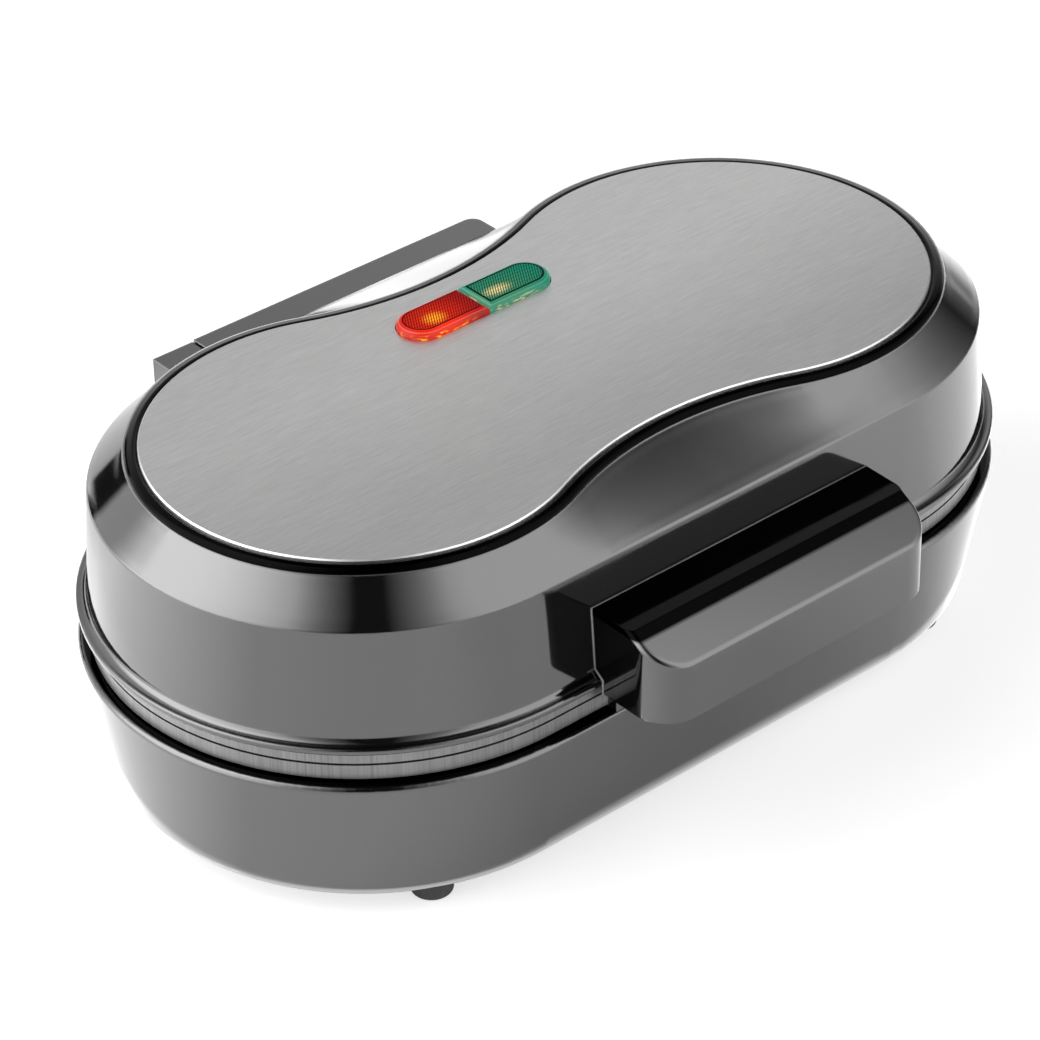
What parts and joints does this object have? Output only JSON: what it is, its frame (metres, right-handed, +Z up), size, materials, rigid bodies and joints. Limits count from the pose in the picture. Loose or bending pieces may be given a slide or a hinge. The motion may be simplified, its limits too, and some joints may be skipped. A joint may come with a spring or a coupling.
{
  "type": "donut maker",
  "caption": "Closed electric doughnut maker with a two-lobed gloss black body, hinged lid, ring-mould cooking plates, brushed waisted top panel, signal lamps and a front handle.",
  "frame": {"origin": "on the table, under the middle of the whole part's outline", "axes": "+X along the two lobes to the user's right, +Y to the rear hinge, +Z up"},
  "size_m": [0.2674, 0.1816, 0.1005],
  "materials": {
    "black_gloss": "gloss",
    "rubber": "matt",
    "brushed_steel": "brushed",
    "cast_plate": "non-stick coated, bare machined edge",
    "element_sheath": "satin",
    "sheet_aluminium": "bright",
    "zinc_steel": "plated",
    "thermostat_body": "matt",
    "white_moulding": "matt",
    "red_lens": "clear tinted",
    "green_lens": "clear tinted",
    "lamp_glass": "clear"
  },
  "bodies": {
    "base": {"base_shell": "black_gloss", "foot_front_left": "rubber", "foot_front_right": "rubber", "foot_rear_left": "rubber", "foot_rear_right": "rubber", "hinge_pin_left": "zinc_steel", "hinge_pin_right": "zinc_steel", "cord_gland": "rubber", "terminal_block": "white_moulding", "thermal_fuse": "zinc_steel", "lower_cooking_plate": "cast_plate", "lower_heating_element": "element_sheath", "lower_reflector": "sheet_aluminium", "lower_plate_screws": "zinc_steel", "lower_thermostat": "thermostat_body"},
    "lid": {"lid_shell": "black_gloss", "top_panel": "brushed_steel", "power_lens": "red_lens", "ready_lens": "green_lens", "lamp_holder": "white_moulding", "power_lamp": "lamp_glass", "ready_lamp": "lamp_glass", "upper_cooking_plate": "cast_plate", "upper_heating_element": "element_sheath", "upper_reflector": "sheet_aluminium", "upper_plate_screws": "zinc_steel", "upper_thermostat": "thermostat_body", "handle": "black_gloss", "handle_screws": "zinc_steel", "hinge_block": "black_gloss", "hinge_block_screws": "zinc_steel", "wire_cover": "black_gloss"}
  },
  "joints": [
    {"name": "lid_hinge", "type": "hinge", "parent": "base", "child": "lid", "pos_m": [0, 0.08475, 0.05], "axis": [-1, 0, 0], "range_deg": [0, 100]}
  ]
}
